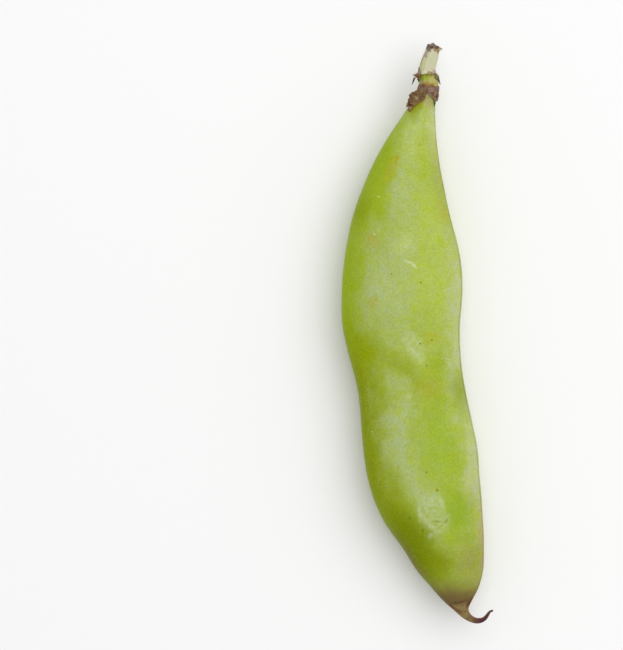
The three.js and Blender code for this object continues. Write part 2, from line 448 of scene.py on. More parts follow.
# Strips that run down the pod. Each has its name, its middle and half width as shares of the way
# across from the left edge, -1, to the right one, 1, where it starts and ends down the pod in
# millimetres, its colour and its strength.
SKIN_STRIPS = [
    ("lighter right side", 0.5, 0.75, 28, 60, "#AFC05C", 0.8),
    ("bloom on the shoulder", -0.05, 0.5, 16, 38, BLOOM, 0.9),
    ("bloom on the upper swell", -0.25, 0.85, 40, 62, BLOOM, 1.0),
    ("bloom below the waist", -0.36, 0.5, 72, 100, BLOOM, 0.95),
    ("bare left shoulder", -0.85, 0.6, 12, 42, BARE_GREEN, 0.75),
    # Along the left edge, painted shade and a painted green reflection are laid over the skin's own green.
    ("bare left flank with painted shade and green reflection", -1.0, 0.42, 40, 72, "#9CB406", 0.9),
    ("fresh green lower right", 0.35, 0.6, 78, 100, "#98B23C", 0.6),
    ("painted shade and green reflection on the lower left flank", -1.0, 0.7, 64, 112, "#8F9E00", 1.0),
    ("dulled right shoulder", 1.0, 0.4, 14, 36, "#A4AC62", 0.6),
    # The pale right edge is bloom with a painted sheen.
    ("bloom with a painted sheen on the right edge", 1.0, 0.45, 40, 110, "#B7C18A", 0.9),
    ("pinked right edge", 1.0, 0.4, 104, 124, PINKED, 0.9),
]
# Patches of skin. Each has its name, its middle across, down and up and its half sizes in
# millimetres, its turn in degrees, its colour, its strength and how soft its border is.
SKIN_PATCHES = [
    ("thick bloom below the neck", (-1, 13, 6), (6, 13, 16), 12, "#B9C87C", 0.7, 1.0),
    # This cloud is bloom with a painted highlight.
    ("cloud of bloom with a painted highlight", (-3.5, 41, 9), (4, 4, 16), 0, BLOOM_AND_HIGHLIGHT, 0.6, 1.0),
    # This patch is painted shade on the upper left flank.
    ("painted shade on the upper left flank", (-13.5, 33, 0), (4, 7, 16), 20, OLIVE, 0.7, 1.0),
    ("yellowed streak", (-7, 23.5, 7), (2, 5.5, 16), 30, YELLOWED, 0.7, 1.0),
    ("yellowed right edge", (6, 33.5, 4), (2.5, 4, 16), -8, YELLOWED, 0.5, 1.0),
    ("tanned spot by the bloom", (-11, 40, 7), (2.5, 3, 16), 0, "#B0A658", 0.6, 1.0),
    ("second tanned spot", (-11, 55, 7), (2, 3, 16), 0, "#B0A658", 0.5, 1.0),
    ("yellowed spot above the waist", (3, 63, 9), (2.5, 2.5, 16), 0, YELLOWED, 0.6, 1.0),
    # The next two patches are painted shade in the hollows of the waist.
    ("painted shade in the hollow left of the waist", (-12, 67, 6), (5, 7, 16), 0, "#94A400", 0.9, 1.0),
    ("painted shade in the waist valley", (-4, 70, 8), (3.5, 13, 16), -52, "#93A32C", 0.75, 1.0),
    ("bare right of the waist", (4.5, 70, 8), (4, 6, 16), 0, "#94A92C", 0.7, 1.0),
    ("yellowed hollow below the waist", (2, 75, 9), (7, 4, 16), 0, "#A3A834", 0.75, 1.0),
    # Painted shade on the right edge below the waist.
    ("painted shade on the edge below the waist", (10, 76, 3), (4.5, 8, 16), -12, "#8E9E3A", 0.85, 1.0),
    ("bloom on the way to the scuff", (0.5, 99, 9), (4, 9, 16), -34, BLOOM, 0.8, 0.9),
    ("haze below the scuff", (4.5, 111, 8), (4, 3.5, 16), 0, "#A9B870", 0.5, 1.0),
    ("olive towards the foot", (-0.5, 113, 4), (6.5, 15, 16), -31, "#7C8B04", 0.95, 0.7),
    ("dulled lower left edge", (-1.5, 117, 2), (2.5, 12, 16), -35, "#80783A", 0.85, 0.9),
    ("bare patch by the foot", (10, 104.5, 7), (5, 9, 16), -5, "#90AB2A", 0.85, 0.9),
    ("dulled right of the foot", (12.5, 117, 4), (6.5, 9, 16), 0, DULLED, 0.85, 1.0),
    ("olive above the foot", (6, 117, 6), (5, 7, 16), -15, "#84900E", 0.8, 1.0),
    ("pale right side of the neck", (3.7, 12, 5), (3, 12, 16), -3, "#C0C48E", 0.9, 1.0),
    ("green below the petal", (-1, 10, 3), (2, 2.5, 16), 0, OLIVE, 0.5, 1.0),
    ("pale neck", (2.5, 1.5, 1), (3.5, 3, 4), 0, "#B3B178", 0.95, 0.4),
    ("green top of the neck", (1.3, 0.9, 2), (1.8, 1.3, 4), 0, "#9CB430", 0.75, 0.9),
    ("green left of the neck", (1, 1.5, 1.5), (1.2, 2, 4), 0, OLIVE, 0.6, 1.0),
    ("beige right of the neck", (4.4, 2, 1), (1.6, 1.5, 4), 0, "#B8AD80", 0.85, 0.8),
    ("shade under the rim", (2.5, 0, 2), (3.5, 1.2, 4), 0, "#807C1A", 0.9, 0.9),
    # Painted shade on the neck under the calyx ribbon.
    ("painted shade under the ribbon", (4.5, 1, 1), (1, 1, 4), -20, "#7C7040", 0.9, 0.9),
    ("stained neck above the sheath", (2.5, 2.5, 2), (3, 0.6, 4), 0, "#A68A52", 0.8, 0.8),
    ("pale tongue", (2.5, 6, 2.5), (2, 2.5, 4), 0, "#A9A06C", 0.95, 0.8),
    # Painted shadow on the pod under the petal's lower edge.
    ("painted shadow under the petal", (-0.3, 8.1, 2.5), (2.6, 1.3, 5), -32, "#8E920C", 0.9, 0.9),
]
# Scuffs where the bloom and the outermost skin are rubbed to a white, papery film.
SCUFFS = [
    ("scuff at the waist", (-1.2, 65.5, 9), (2.8, 5.0, 9), -25),
    ("scuff on the lower swell", (3.6, 105, 9), (4.4, 7.0, 9), -20),
    ("rub beside the streak", (-2.8, 76.8, 9), (0.9, 0.9, 9), 0),
]
# Small marks: each kind's name and colour, and where each mark lies and its radius. Up and down
# they all reach as far as the mark depth.
MARKS = [
    ("rust spot", "#A07800", [((4.4, 99.3, 9), 0.5)]),
    ("tan spot", "#B0A41E", [((0.4, 17, 5), 0.5), ((-5, 20.2, 6), 0.8)]),
    ("dark speck", "#66820A", [
        ((-6.5, 48, 9), 0.3), ((0.5, 50, 9), 0.35), ((0.4, 64.5, 9), 0.35), ((3.2, 63.7, 9), 0.35),
        ((1.9, 69.8, 9), 0.35), ((1.8, 95, 9), 0.35), ((-2.1, 106, 8), 0.4), ((1, 109, 8), 0.45),
    ]),
    ("pale speck", "#C8D492", [((-9.5, 29.5, 7), 0.35), ((-10.5, 38.5, 7), 0.35), ((-11, 85.5, 6), 0.25)]),
]
MARK_DEPTH = 8
PORES_APART = 2.2
BLEMISHES_APART = 3.4
# Where the papery film has lifted, its pale edges and folds carry painted highlights where they catch the
# light, with creases between.
FILM_AND_HIGHLIGHT = "#D2DAB2"
FILM_EDGES = [
    ("scratch on the upper swell", (-2.3, 45.2, 9), (0.4, 2, 9), -68, FILM_AND_HIGHLIGHT, 0.6, 0.8),
    ("end of the scratch", (-1, 46.1, 9), (0.4, 1.3, 9), -40, FILM_AND_HIGHLIGHT, 0.6, 0.8),
    ("film edge at the waist", (-1.4, 66, 9), (0.6, 3, 9), -48, FILM_AND_HIGHLIGHT, 0.3, 1.0),
    ("left rim of the lower scuff", (0.2, 104.5, 9), (0.7, 3.2, 9), -6, FILM_AND_HIGHLIGHT, 0.4, 1.0),
    ("right rim of the lower scuff", (5.2, 101.8, 9), (0.9, 2.2, 9), -25, FILM_AND_HIGHLIGHT, 0.35, 1.0),
    ("fold in the lower scuff", (2.9, 108, 9), (0.9, 3.2, 9), -42, FILM_AND_HIGHLIGHT, 0.35, 1.0),
    ("flake at the foot of the scuff", (2.9, 110.2, 9), (1.3, 0.8, 9), -30, FILM_AND_HIGHLIGHT, 0.4, 1.0),
    ("crease across the scuff", (4.3, 106.8, 9), (2.2, 0.4, 9), 0, "#8C9C40", 0.8, 1.0),
    ("crease beside the scuff", (6.6, 106.7, 9), (1, 0.5, 9), -45, "#74860C", 0.8, 1.0),
]

skin, place = new_material("waxy_bean_skin")
strayed = wander(skin, place, 3.6, 1.8)
colour = tint(skin, "#A6B750", MID_GREEN, 1.0, mottle(skin, place, 9.0), 0.35, 0.65)
colour = lay_strips(skin, strayed, colour, SKIN_STRIPS)
colour = lay_patches(skin, strayed, colour, SKIN_PATCHES)

# The bloom is cloudy at every size from three millimetres down, which shows most in how much blue
# is left, and the skin's own grain is half a millimetre across.
grain = mottle(skin, place, 0.45, 2.0, 0.6)
clouds = vary(skin, 1.0, mottle(skin, place, 3.0, 7.0, 0.72), 0.3, 0.7, 0.36, 1.34, "LINEAR")
clouds = vary(skin, clouds, grain, 0.25, 0.75, 0.75, 1.25, "LINEAR")
shades = vary(skin, 1.0, mottle(skin, place, 1.7, 3.0, 0.5), 0.3, 0.7, 0.97, 1.03, "LINEAR")
shades = vary(skin, shades, grain, 0.25, 0.75, 0.88, 1.12, "LINEAR")
blue = add_node(skin, "Math", {"operation": "MULTIPLY"}, {0: shades, 1: clouds}).outputs[0]
tone = add_node(skin, "CombineColor", inputs={0: shades, 1: shades, 2: blue}).outputs[0]
multiplied = {"data_type": "RGBA", "blend_type": "MULTIPLY"}
colour = add_node(skin, "Mix", multiplied, {0: 1.0, 6: colour, 7: tone}).outputs[2]

# Breathing pores and pinprick blemishes, a few to each square centimetre, both a little larger
# than the real ones, so that they show.
inputs = {"Vector": place, "Scale": 1 / PORES_APART}
pores = add_node(skin, "TexVoronoi", inputs=inputs).outputs["Distance"]
colour = tint(skin, colour, "#5F7A1C", 0.35, pores, 0.1, 0.03)
elsewhere = add_node(skin, "Mapping", inputs={"Vector": place, "Location": (50.0, 0, 0)}).outputs[0]
inputs = {"Vector": elsewhere, "Scale": 1 / BLEMISHES_APART}
blemishes = add_node(skin, "TexVoronoi", inputs=inputs).outputs["Distance"]
colour = tint(skin, colour, "#D2DCAC", 0.4, blemishes, 0.05, 0.01)

# The scuffs are broken by the grain of the skin into flecks.
scuffed = 0.0
for name, middle, half, turn in SCUFFS:
    rubbed = vary(skin, 1.0, soft_spot(skin, strayed, middle, half, turn, name), 0.0, 0.5)
    scuffed = add_node(skin, "Math", {"operation": "MAXIMUM"}, {0: scuffed, 1: rubbed}).outputs[0]
scuffed = vary(skin, scuffed, mottle(skin, place, 0.8, 4.0, 0.65), 0.4, 0.62, 0.25, 1.0)
colour = tint(skin, colour, "#C6D1AA", 0.44, scuffed, 0, 1, "LINEAR")
colour = lay_patches(skin, wander(skin, place, 1.2, 0.5), colour, FILM_EDGES)

# A fine dark stipple darkens the lower left flank.
out = add_node(skin, "Attribute", {"attribute_name": "round"}).outputs["Vector"]
out_parts = add_node(skin, "SeparateXYZ", inputs={"Vector": out}).outputs
place_parts = add_node(skin, "SeparateXYZ", inputs={"Vector": place}).outputs
flank = vary(skin, 0.4, out_parts["X"], -0.5, -0.85)
flank = vary(skin, flank, place_parts["Y"], 42, 84)
colour = tint(skin, colour, "#4E6000", flank, mottle(skin, place, 0.4, 2.0), 0.52, 0.68)

for name, hue, marks in MARKS:
    for middle, radius in marks:
        spot = soft_spot(skin, place, middle, (radius, radius, MARK_DEPTH), 0, name)
        colour = tint(skin, colour, hue, 0.85, spot, 0.0, 0.7)

# The foot and the beak have dried brown, and violet towards the tip; painted shade darkens the
# beak's furrows and the crease between foot and beak.
colour = tint(skin, colour, "#85803E", 1.0, strayed_down(skin, place, 1.2), 119.7, 124.3)
colour = tint(skin, colour, "#73603A", 1.0, strayed_down(skin, place, 1.2), 122.4, 126)
horn = tint(skin, "#7C6840", "#8F7D50", 1.0, mottle(skin, place, 1.2, 3.0), 0.35, 0.65)
horn = paint_shade_in_pits(skin, horn, "#45201E", 0.5, 0.42, 0.5)
colour = tint(skin, colour, horn, 1.0, strayed_down(skin, place, 0.8), 126.4, 128)
colour = lay_patches(skin, wander(skin, place, 1.6, 0.4), colour, [
    ("painted shade in the crease above the beak", (9.9, 126.4, 3), (3.2, 0.5, 6), -14, "#4C2E26", 0.55, 0.8),
    ("dark red right edge", (12.3, 126.6, 1), (0.6, 2.2, 5), 22, "#5A2622", 0.85, 0.8),
    ("dark red left edge", (8.9, 128.0, 0), (0.6, 2.6, 5), -52, "#6A3A30", 0.7, 0.8),
])
tip = vary(skin, 1.0, place_parts["X"], 11.5, 15.5)
colour = tint(skin, colour, "#5C363E", tip, place_parts["Y"], 126.5, 127.5)

# The seam itself is a thin line of pinkish brown.
for side in SEAM_SIDES:
    off, facing = (
        add_node(skin, "VectorMath", {"operation": "DOT_PRODUCT"}, {0: out, 1: way}).outputs["Value"]
        for way in ((side[1], -side[0], 0), (side[0], side[1], 0))
    )
    off = add_node(skin, "Math", {"operation": "ABSOLUTE"}, {0: off}).outputs[0]
    off = add_node(skin, "Math", {"operation": "MULTIPLY"}, {0: off, 1: out_parts["Z"]}).outputs[0]
    line = vary(skin, 1.0, off, 0.5, 0.1)
    line = vary(skin, line, mottle(skin, place, 5.0, 3.0), 0.3, 0.6, 0.25, 0.8)
    colour = tint(skin, colour, "#8A6A4C", line, facing, 0.0, 0.2)

# Thick bloom is chalky and rough, and bare skin has a satin gloss.
blue = add_node(skin, "SeparateColor", inputs={"Color": colour}).outputs["Blue"]
dull = vary(skin, 1.0, blue, 0.02, 0.2, 0.44, 0.6, "LINEAR")
raised = add_node(skin, "Math", {"operation": "MULTIPLY_ADD"}, {0: scuffed, 1: 0.6, 2: grain}).outputs[0]
sunk = vary(skin, 0.4, pores, 0.12, 0.0)
height = add_node(skin, "Math", {"operation": "SUBTRACT"}, {0: raised, 1: sunk}).outputs[0]
bump = add_node(skin, "Bump", inputs={"Height": height, "Strength": 0.35, "Distance": 0.08 * MM})
coat = add_node(skin, "BsdfPrincipled", inputs={
    "Base Color": colour, "Roughness": dull, "IOR": 1.4, "Specular IOR Level": 0.05,
    "Subsurface Weight": 0.12, "Subsurface Radius": (1.0, 1.0, 0.3), "Subsurface Scale": 1.2 * MM,
    "Normal": bump.outputs[0],
})
add_node(skin, "OutputMaterial", inputs={"Surface": coat.outputs[0]})
pod.data.materials.append(skin)
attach(pod, "root")
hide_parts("pod")


# ---- The stalk ---------------------------------------------------------------------------------
# The short green stalk that held the pod to the plant, snapped off: pale and fleshy at the foot,
# where its rim overhangs the neck, and shrunk to a dark, crumpled cap where the break has dried.

# The same kind of rows as the pod's, from the dried break at the top to the rim.
STALK_ROWS = [
    (-7.45, 3.55, 0.95, 0.9),
    (-7.3, 3.52, 1.25, 1.12),
    (-6.95, 3.5, 1.45, 1.28),
    (-6.5, 3.52, 1.55, 1.38),
    (-6.1, 3.54, 1.62, 1.46),
    (-5.6, 3.5, 1.68, 1.54),
    (-4.9, 3.34, 1.78, 1.6),
    (-4.0, 3.06, 1.86, 1.7),
    (-3.1, 2.8, 1.94, 1.8),
    (-2.1, 2.42, 1.98, 1.9),
    (-1.2, 2.32, 2.02, 1.98),
    (-0.5, 2.32, 1.98, 2.06),
    (-0.1, 2.32, 2.02, 2.16),
    (0.08, 2.32, 1.98, 2.12),
    (0.16, 2.32, 1.7, 1.85),
]
BREAK_FOLDS = 0.4
STRANDS = 9
STRAND_DEPTH = 0.12
# The break has dried down to here, in millimetres down from the neck's end, with a soft border.
DRIED_TO = -6.05
DRIED_BORDER = 0.35


def at(across, along_down, up):
    """A place in millimetres across, down and up from the middle of the neck's end."""
    return Vector((pod_middle + across * MM, neck_end - along_down * MM, middle_height + up * MM))


def pull(piece, place, move, reach, falloff="SMOOTH"):
    """Pulls the corner nearest to a place, and its neighbours within reach with it, in millimetres
    across, down and up."""
    bpy.ops.object.mode_set(mode="OBJECT")
    nearest = min(piece.data.vertices, key=lambda corner: (corner.co - at(*place)).length).index
    grip(piece, lambda corner: corner.index == nearest)
    bpy.ops.transform.translate(
        value=(move[0] * MM, -move[1] * MM, move[2] * MM), use_proportional_edit=True,
        use_proportional_connected=True, proportional_edit_falloff=falloff, proportional_size=reach * MM,
    )
    bpy.ops.object.mode_set(mode="OBJECT")


def folds(corner, size, drawn_out=1.0, shift=0.0):
    """Sharp-crested dry folds, 0 to 1, of a size in millimetres, drawn out lengthwise."""
    spot = corner.co / MM
    spot = Vector((spot.x / size + shift, spot.y / size / drawn_out, spot.z / size))
    crests = [(1 - 2.2 * abs(noise.noise(spot * finer))) / finer for finer in (1, 2.3, 4.9)]
    highest = 1.64  # what the three crests come to where they meet
    return min(max(sum(crests) / highest * 0.8 + 0.2, 0), 1)


stalk = draw_out("cut_stalk", STALK_ROWS, sides=16)
round_off(stalk, 1)
# The break is a torn, hollow collar: its back stands up to a peak, and its front has sunk in.
pull(stalk, (3.6, -7.45, 0.0), (0.0, 1.3, 0.0), 0.3)
pull(stalk, (3.7, -7.4, -0.9), (0.0, -0.4, 0.0), 0.9)
pull(stalk, (3.5, -7.4, 1.0), (0.0, 0.65, -0.1), 0.8)
pull(stalk, (2.7, -7.4, -0.2), (0.35, 0.45, 0.0), 0.7)
pull(stalk, (4.6, -7.2, 0.3), (0.1, 0.4, 0.1), 0.6)
pull(stalk, (3.3, -6.4, 1.35), (0.1, 0.0, -0.35), 0.6)
pull(stalk, (4.3, -6.1, 1.3), (0.1, -0.1, 0.3), 0.5)
# A flake sticks out of it to the right, and the skin has lifted down the left.
pull(stalk, (5.0, -6.3, 0.4), (0.5, -0.05, 0.2), 0.9)
pull(stalk, (5.5, -6.2, 0.5), (0.6, -0.05, 0.1), 0.9, "SHARP")
pull(stalk, (5.2, -5.6, 0.5), (0.4, -0.1, 0.1), 0.7)
pull(stalk, (1.9, -5.2, 0.6), (-0.1, 0.0, 0.2), 0.6)
pull(stalk, (2.2, -4.3, 1.0), (0.0, 0.0, 0.2), 0.5)
# The front of the rim is drawn up a little.
pull(stalk, (2.5, 0.1, 2.2), (0.0, -0.3, 0.0), 1.4)
round_off(stalk, 2)


def dried_break(corner):
    """The break's dry folds, which die out down the stalk."""
    return (1 - folds(corner, 1.3)) * (1 - fade(down(corner), -6.9, -5.2))


def strands(corner):
    """Faint strands that run down the stalk."""
    angle = angle_of(stalk, corner)
    sway = 3 * noise.noise(Vector((angle * 3, down(corner) * 0.3, 4)))
    along = fade(down(corner), -6.5, -5) * (1 - fade(down(corner), -0.8, 0))
    return ridges(angle, STRANDS, sway) * along


raise_by(stalk, -BREAK_FOLDS, dried_break)
raise_by(stalk, -STRAND_DEPTH, strands)


def add_fibre(piece, root, tip, thickness, bend):
    """Adds a dried fibre to a piece, tapered from root to tip, its middle bent aside, in millimetres."""
    alone()
    run = at(*tip) - at(*root)
    bpy.ops.mesh.primitive_cone_add(
        vertices=8, radius1=thickness * MM, radius2=0.02 * MM, depth=run.length,
        location=(at(*root) + at(*tip)) / 2, rotation=run.to_track_quat("Z", "X").to_euler(),
    )
    bpy.ops.object.transform_apply(location=True, rotation=True, scale=True)
    fibre = bpy.context.object
    bpy.ops.object.mode_set(mode="EDIT")
    bpy.ops.mesh.select_all(action="SELECT")
    bpy.ops.mesh.subdivide(number_cuts=4)
    pull(fibre, [(start + end) / 2 for start, end in zip(root, tip)], bend, 0.7)
    round_off(fibre, 1)
    piece.select_set(True)
    bpy.context.view_layer.objects.active = piece
    bpy.ops.object.join()


add_fibre(stalk, (4.75, -5.9, 0.7), (6.0, -6.15, 0.9), 0.55, (0.1, 0.1, 0.0))
bpy.ops.object.shade_smooth()

# Fresh stalk is pale, wet flesh under a thin skin. Its break has dried grey-brown, with painted shade
# darkest in its creases, and the flake that sticks out of it is bare tan fibre.
stalk_flesh, place = new_material("pale_stalk_flesh")
strayed = wander(stalk_flesh, place, 0.8, 0.35)
streaks = mottle(stalk_flesh, place, 1.6, 3.0, 0.6, (1, 3, 1))
fresh = tint(stalk_flesh, "#D0CDAE", "#BDBD93", 1.0, streaks, 0, 1, "LINEAR")
fresh = lay_patches(stalk_flesh, strayed, fresh, [
    ("green streak", (0.9, -2.4, 1.0), (0.6, 2.2, 2.5), 20, "#BFC770", 0.9, 0.7),
    ("green right edge", (4.8, -3.0, 0.0), (0.5, 2.2, 1.6), 8, "#A8AC7E", 0.7, 0.8),
    ("cream rim", (2.3, -0.4, 2.0), (2.0, 0.8, 1.5), 0, "#DDDAB4", 0.9, 0.6),
    ("brown left edge", (0.95, -3.2, 0.2), (0.4, 2.6, 1.4), 20, "#84735F", 0.9, 0.8),
    ("lifted skin", (1.95, -4.9, 1.0), (0.42, 1.2, 1.5), 20, "#A5928C", 0.95, 0.6),
    ("brown left shoulder", (2.75, -5.8, 0.9), (0.8, 0.75, 1.8), 20, "#756650", 0.95, 0.6),
    ("brown below the flake", (5.0, -5.4, 0.6), (0.5, 0.75, 1.4), 15, "#84705A", 0.9, 0.6),
    ("brown end of the lifted skin", (2.1, -4.2, 1.2), (0.25, 0.45, 1.3), 15, "#84674F", 0.7, 0.8),
    ("red-brown right shoulder", (4.35, -5.8, 1.2), (0.95, 0.6, 1.6), -15, "#96775A", 0.95, 0.6),
])
dry = tint(stalk_flesh, "#736657", "#8C7C6C", 1.0, mottle(stalk_flesh, place, 0.6, 3.0), 0.4, 0.65)
dry = lay_patches(stalk_flesh, strayed, dry, [
    ("pink hollow", (3.5, -7.15, 0.4), (0.8, 0.5, 1.8), 0, "#99847C", 0.9, 0.6),
    ("grey left fold", (2.5, -6.6, 0.6), (0.45, 0.9, 1.5), 20, "#6B615A", 0.9, 0.6),
    ("painted shade in the crease of the break", (3.3, -6.5, 1.0), (0.7, 0.28, 1.6), 10, "#56381C", 0.95, 0.6),
    ("brown right fold", (4.55, -6.4, 0.8), (0.55, 0.5, 1.6), -30, "#674425", 0.95, 0.6),
    ("tan flake", (5.5, -6.1, 0.6), (0.7, 0.85, 1.6), 0, "#9C8D70", 1.0, 0.35),
])
dry = paint_shade_in_pits(stalk_flesh, dry, "#2E2018", 0.5, 0.4, 0.5)
level = strayed_down(stalk_flesh, place, 0.7)
below_break = vary(stalk_flesh, 1.0, level, DRIED_TO - DRIED_BORDER / 2, DRIED_TO + DRIED_BORDER / 2)
colour = tint(stalk_flesh, dry, fresh, 1.0, below_break, 0, 1, "LINEAR")
rough = vary(stalk_flesh, 1.0, below_break, 0, 1, 0.75, 0.45)
fibres = mottle(stalk_flesh, place, 0.25, 3.0, 0.6, (1, 4, 1))
bump = add_node(stalk_flesh, "Bump", inputs={"Height": fibres, "Strength": 0.4, "Distance": 0.05 * MM})
coat = add_node(stalk_flesh, "BsdfPrincipled", inputs={
    "Base Color": colour, "Roughness": rough, "IOR": 1.4, "Specular IOR Level": 0.4,
    "Normal": bump.outputs[0],
})
add_node(stalk_flesh, "OutputMaterial", inputs={"Surface": coat.outputs[0]})
stalk.data.materials.append(stalk_flesh)
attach(stalk, "root")
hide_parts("stalk")


# ---- The calyx ---------------------------------------------------------------------------------
# What is left of the green cup that held the flower: a thin sleeve round the back of the stalk's
# foot, withered to a curled ribbon on the right and to a torn, twisted tooth and bristle on the left.

CALYX_ROWS = [
    (-1.0, 2.32, 2.02, 2.05),
    (-0.7, 2.3, 2.0, 2.12),
    (-0.35, 2.3, 2.0, 2.18),
    (0.0, 2.32, 2.06, 2.26),
    (0.35, 2.38, 2.16, 2.34),
    (0.7, 2.48, 2.32, 2.4),
]
CALYX_FOLDS = 0.28
CALYX_THICKNESS = 0.14


def torn_open(corner):
    """Whether a corner lies in the gap in front, where the stalk's own rim shows."""
    out = way_out(calyx, corner)
    return -0.83 < out.x < 0.04 and out.y > 0


calyx = draw_out("withered_calyx", CALYX_ROWS, sides=28, closed=False)
grip(calyx, torn_open)
bpy.ops.mesh.delete(type="FACE")
round_off(calyx, 1)
# The right-hand part is a ribbon that slants down and out from the front to a point.
pull(calyx, (2.5, 0.7, 2.4), (0.3, -1.05, 0.1), 1.0)
pull(calyx, (2.5, -1.0, 2.1), (0.2, 0.15, 0.1), 0.5)
pull(calyx, (3.9, 0.7, 1.9), (0.0, -0.4, 0.1), 0.7)
pull(calyx, (4.0, -1.0, 1.4), (0.0, -0.2, 0.1), 0.6)
pull(calyx, (4.9, 0.7, 0.4), (0.2, 0.9, 0.1), 1.0)
pull(calyx, (5.0, 1.6, 0.4), (0.15, 0.7, 0.0), 0.6)
pull(calyx, (4.4, -1.0, 0.0), (0.1, 0.85, 0), 1.0)
pull(calyx, (4.4, 0.9, 1.4), (0.2, 0.6, 0.0), 0.7)
# The left tooth clasps the stalk's edge, and its lower corner is swollen, torn and hollow.
pull(calyx, (0.3, -1.0, 0.2), (-0.05, -1.1, 0.0), 0.9, "SHARP")
pull(calyx, (0.6, -1.0, 1.0), (0.0, 0.5, 0.0), 0.5)
pull(calyx, (0.1, 0.3, 0.5), (-0.6, 0.0, 0.2), 0.7)
pull(calyx, (-0.6, 0.1, 0.5), (-0.9, 0.05, 0.1), 0.5, "SHARP")
pull(calyx, (0.0, 0.5, 1.1), (0.0, 0.0, -0.45), 0.4)
pull(calyx, (0.7, 0.7, 1.6), (-0.1, 0.2, 0.1), 0.5)
# Two blunt teeth are left underneath.
pull(calyx, (1.2, 0.7, -2.1), (-0.1, 0.9, -0.1), 0.9)
pull(calyx, (3.9, 0.7, -2.1), (0.1, 0.6, -0.1), 0.9)
round_off(calyx, 1)
raise_by(calyx, CALYX_FOLDS, lambda corner: folds(corner, 0.9, 1.6) * fade(down(corner), -1.4, -0.4))
finish_with(calyx, "SOLIDIFY", thickness=CALYX_THICKNESS * MM, offset=1)
round_off(calyx, 1)

# The ribbon's end has rolled up, the tooth has a torn corner, and two of its veins have outlasted
# it: a long one that curls to the left, and a stub.
add_fibre(calyx, (4.45, 0.3, 1.3), (5.5, 2.6, 0.7), 0.62, (0.1, -0.1, 0.0))
add_fibre(calyx, (0.1, 0.35, 0.7), (-1.3, 0.15, 0.6), 0.4, (0.0, -0.08, 0.0))
add_fibre(calyx, (-0.65, 0.6, 0.5), (-1.45, 2.55, 0.2), 0.3, (0.12, 0.0, 0.1))
add_fibre(calyx, (0.15, 0.8, 0.9), (0.15, 2.1, 0.9), 0.42, (0.1, 0.0, 0.1))
bpy.ops.object.shade_smooth()

# Withered calyx is thin and papery: grey-mauve where it still holds some colour, brown along its
# veins, and almost black where it has shrivelled to a thread.
calyx_paper, place = new_material("withered_calyx_skin")
colour = tint(calyx_paper, "#927B5C", "#B2A08C", 1.0, mottle(calyx_paper, place, 0.8, 3.0), 0, 1, "LINEAR")
# Painted shade darkens the pits between its folds.
colour = paint_shade_in_pits(calyx_paper, colour, "#33241E", 0.5)
colour = lay_patches(calyx_paper, wander(calyx_paper, place, 0.8, 0.35), colour, [
    ("pale start of the ribbon", (2.9, -0.9, 2.0), (1.1, 0.8, 1.6), 0, "#D6CDB4", 0.9, 0.7),
    ("pink ribbon", (4.2, -0.5, 1.6), (0.9, 1.0, 1.6), 0, "#BCA89A", 0.85, 0.7),
    ("violet patch", (4.3, -1.0, 1.2), (0.4, 0.5, 1.2), 0, "#9A8C9A", 0.7, 0.8),
    ("olive-brown end", (4.9, 1.1, 0.8), (0.9, 1.2, 1.6), -25, "#665A3A", 0.95, 0.6),
    ("dark tip", (5.3, 1.9, 0.7), (0.6, 0.9, 1.2), 0, "#48432E", 0.95, 0.5),
    ("orange pit", (-0.1, 0.5, 0.8), (1.1, 0.75, 1.6), 0, "#7C5426", 0.95, 0.5),
    ("dark corner", (-1.0, 0.2, 0.5), (0.4, 0.3, 1.0), 0, "#3E2C28", 0.9, 0.6),
    ("long bristle", (-1.1, 1.7, 0.3), (0.7, 0.95, 1.2), 25, "#2C3138", 1.0, 0.25),
    ("short bristle", (0.2, 1.6, 0.9), (0.4, 0.6, 1.2), 0, "#3A2A20", 1.0, 0.25),
])


def coat_as_paper(piece, paper, place, colour, roughness, gloss):
    """Finishes a material as dry, finely crinkled paper, and gives it to its piece."""
    crinkles = mottle(paper, place, 0.2, 3.0)
    bump = add_node(paper, "Bump", inputs={"Height": crinkles, "Strength": 0.6, "Distance": 0.06 * MM})
    coat = add_node(paper, "BsdfPrincipled", inputs={
        "Base Color": colour, "Roughness": roughness, "IOR": 1.4, "Specular IOR Level": gloss,
        "Normal": bump.outputs[0],
    })
    add_node(paper, "OutputMaterial", inputs={"Surface": coat.outputs[0]})
    piece.data.materials.append(paper)


coat_as_paper(calyx, calyx_paper, place, colour, roughness=0.75, gloss=0.3)
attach(calyx, "root")
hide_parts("calyx")


# ---- The stamen sheath -------------------------------------------------------------------------
# The dried tube of the flower's stamens, shrunk tight round the neck: thin brown parchment with a
# mauve cast, torn short in front, with a spike that hangs down the right side of the pod.

SHEATH_ROWS = [
    (2.6, 2.66, 2.18, 2.2),
    (2.95, 2.64, 2.22, 2.24),
    (3.4, 2.6, 2.28, 2.26),
    (4.0, 2.54, 2.34, 2.3),
    (4.7, 2.4, 2.42, 2.4),
    (5.4, 2.12, 2.58, 2.58),
]
SHEATH_FOLDS = 0.32
SHEATH_THICKNESS = 0.13
SHEATH_CLEARANCE = 0.05

sheath = draw_out("dried_stamen_sheath", SHEATH_ROWS, sides=32, closed=False)
round_off(sheath, 1)
# Its upper edge dips on the right.
pull(sheath, (2.4, 2.6, 2.1), (0.0, 0.3, 0), 0.5)
pull(sheath, (4.2, 2.6, 1.5), (0.0, 0.45, 0), 0.9)
pull(sheath, (1.5, 2.6, 1.9), (0.0, -0.2, 0), 0.5)
pull(sheath, (3.2, 2.7, 2.0), (0.0, -0.2, 0), 0.4)
